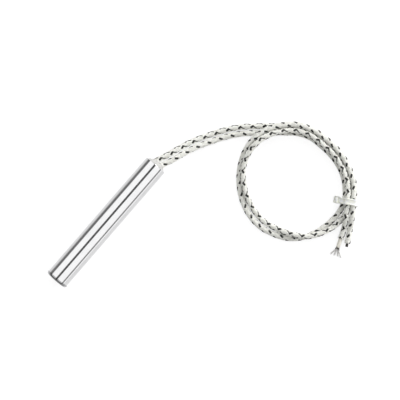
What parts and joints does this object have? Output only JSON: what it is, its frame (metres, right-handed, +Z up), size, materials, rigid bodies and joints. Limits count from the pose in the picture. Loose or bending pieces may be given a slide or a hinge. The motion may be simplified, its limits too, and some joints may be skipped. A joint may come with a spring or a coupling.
{
  "type": "cartridge heater",
  "caption": "Cylindrical cartridge heater in a polished steel sheath with a welded closed end, and braided glass-fibre leads laid in a loop held by a cable tie.",
  "frame": {"origin": "on the floor under the middle of the sheath's length, with the heater lying on its side", "axes": "+X along the sheath towards the lead end, +Z up, +Y to the left when looking along +X"},
  "size_m": [0.1403, 0.1047, 0.012],
  "materials": {
    "stainless": "ground and polished stainless steel",
    "ceramic": "matt, unglazed",
    "oxide": "matt, compacted powder",
    "cement": "matt, fine grained",
    "resistance_wire": "drawn wire, oxidised",
    "nickel": "drawn, satin",
    "glass_braid": "braided glass fibre with a black tracer yarn",
    "nylon": "natural nylon, slightly translucent"
  },
  "bodies": {
    "root": {"sheath_tube": "stainless", "end_disc": "stainless", "end_wafer": "ceramic", "core_1": "ceramic", "core_2": "ceramic", "core_3": "ceramic", "core_4": "ceramic", "core_5": "ceramic", "core_cap": "ceramic", "lead_bushing": "ceramic", "insulation_fill": "oxide", "terminal_fill": "oxide", "end_seal": "cement", "resistance_winding": "resistance_wire", "pin_long": "nickel", "pin_short": "nickel", "splice_a": "nickel", "splice_b": "nickel", "lead_a_conductor": "nickel", "lead_b_conductor": "nickel", "lead_a": "glass_braid", "lead_b": "glass_braid", "cable_tie": "nylon"}
  },
  "joints": []
}
